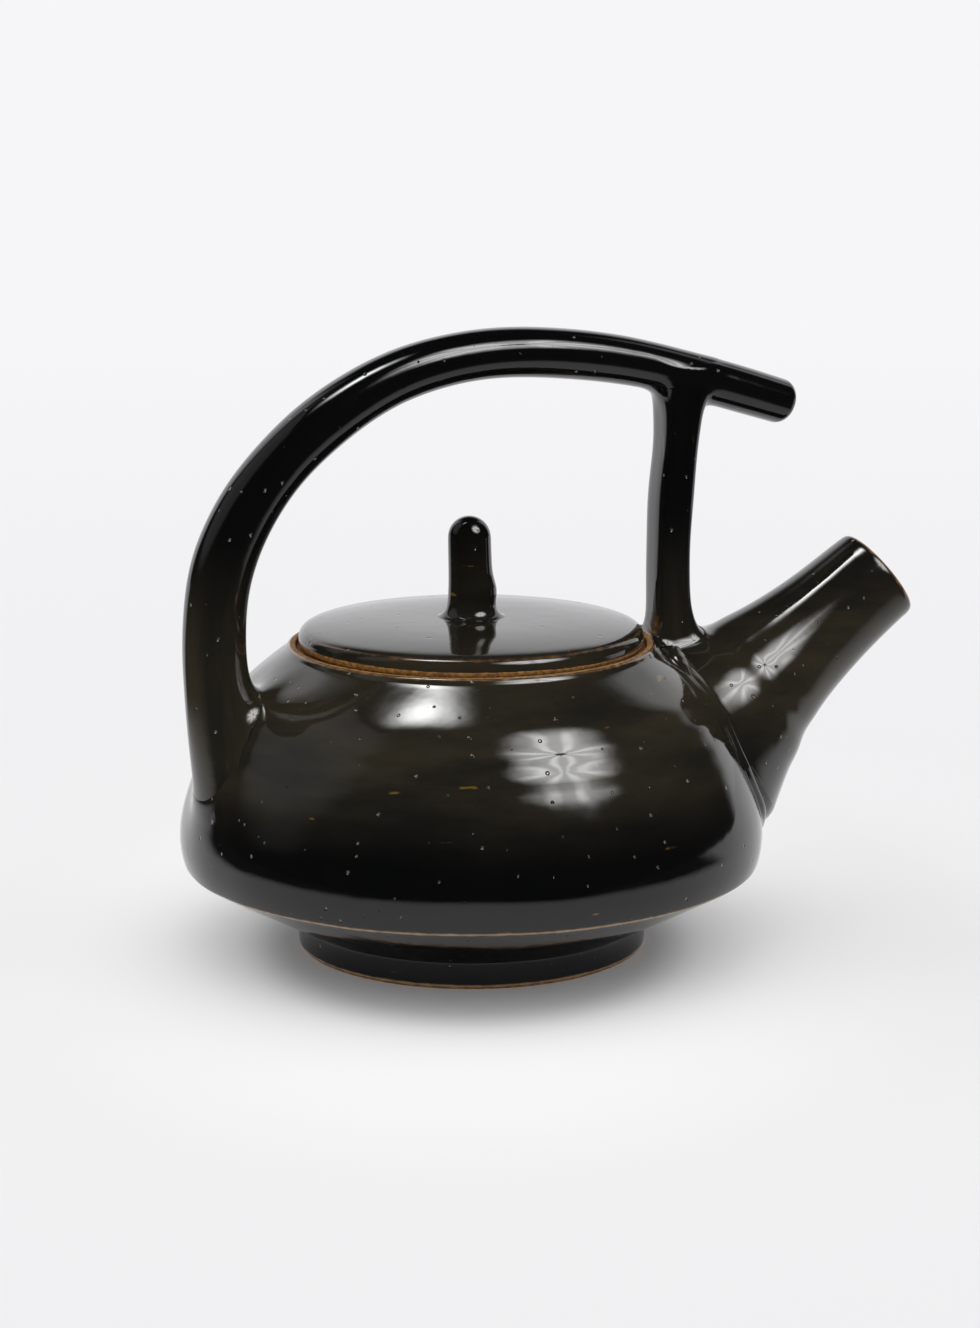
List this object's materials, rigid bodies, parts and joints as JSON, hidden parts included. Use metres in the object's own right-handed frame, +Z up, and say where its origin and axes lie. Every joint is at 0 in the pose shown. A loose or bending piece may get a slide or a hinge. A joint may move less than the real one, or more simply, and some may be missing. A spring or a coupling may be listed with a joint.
{
  "type": "lidded sake pot",
  "caption": "Lidded stoneware pouring pot: squat sharp-edged belly, flared spout, fixed overhead handle held by a strut, and a lift-out lid with a post knob.",
  "frame": {"origin": "on the pot's turning axis, at the underside of the foot ring", "axes": "+X towards the spout, +Z up, +Y completes a right-handed frame"},
  "size_m": [0.1979, 0.1506, 0.1594],
  "materials": {
    "dark_glaze": "glossy near-black brown iron glaze",
    "bare_clay": "bare fired clay, matt"
  },
  "bodies": {
    "pot": {"pot_body": "dark_glaze", "foot_ring": "dark_glaze", "spout": "dark_glaze", "handle_arch": "dark_glaze", "handle_strut": "dark_glaze"},
    "lid": {"lid_disc": "dark_glaze", "lid_flange": "bare_clay", "lid_knob": "dark_glaze"}
  },
  "joints": [
    {"name": "lid_lift", "type": "slide", "parent": "pot", "child": "lid", "axis": [0, 0, 1], "range_m": [0, 0.03]}
  ]
}
